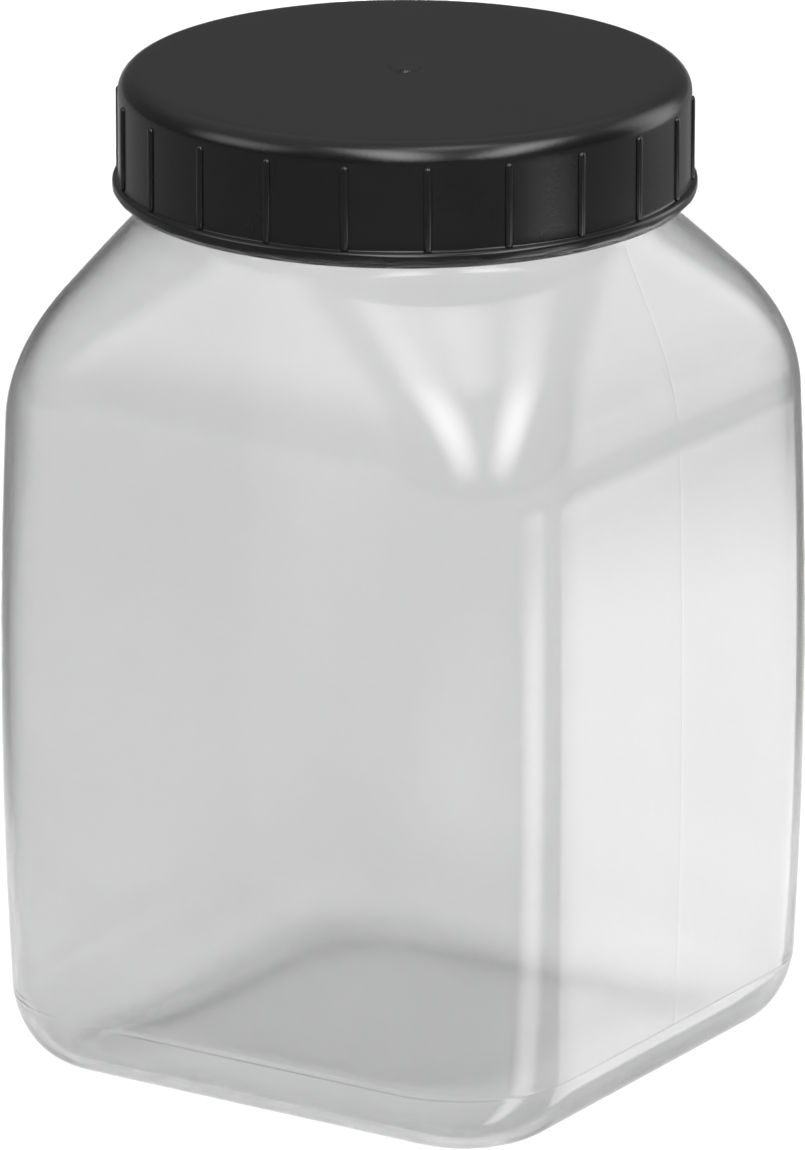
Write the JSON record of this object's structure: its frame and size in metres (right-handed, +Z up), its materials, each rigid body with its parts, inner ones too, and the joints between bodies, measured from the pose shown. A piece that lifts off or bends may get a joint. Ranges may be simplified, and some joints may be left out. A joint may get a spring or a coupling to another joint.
{
  "type": "specimen jar",
  "caption": "Clear square jar with rounded corners, a sloping shoulder and a wide round neck, closed by a black ribbed screw cap over a loose seal disc.",
  "frame": {"origin": "on the standing surface, under the middle of the jar", "axes": "+Z up through the neck and cap, -Y towards the front face; the mould's parting plane is Y = 0"},
  "size_m": [0.12, 0.12, 0.186],
  "materials": {
    "clear_plastic": "clear, glossy, faintly smoky",
    "black_plastic": "black, satin to gloss",
    "seal_foam": "white closed-cell foam, matt"
  },
  "bodies": {
    "jar": {"jar_body": "clear_plastic"},
    "seal": {"seal_disc": "seal_foam"},
    "cap": {"screw_cap": "black_plastic"}
  },
  "joints": [
    {"name": "cap_rise", "type": "slide", "parent": "jar", "child": "seal", "axis": [0, 0, 1], "range_m": [0, 0.024]},
    {"name": "cap_turn", "type": "hinge", "parent": "seal", "child": "cap", "pos_m": [0, 0, 0.175], "axis": [0, 0, 1], "range_deg": [0, 1440]}
  ],
  "couplings": [
    {"joint": "cap_rise", "follows": "cap_turn", "m_per_rad": 0.0009549}
  ]
}
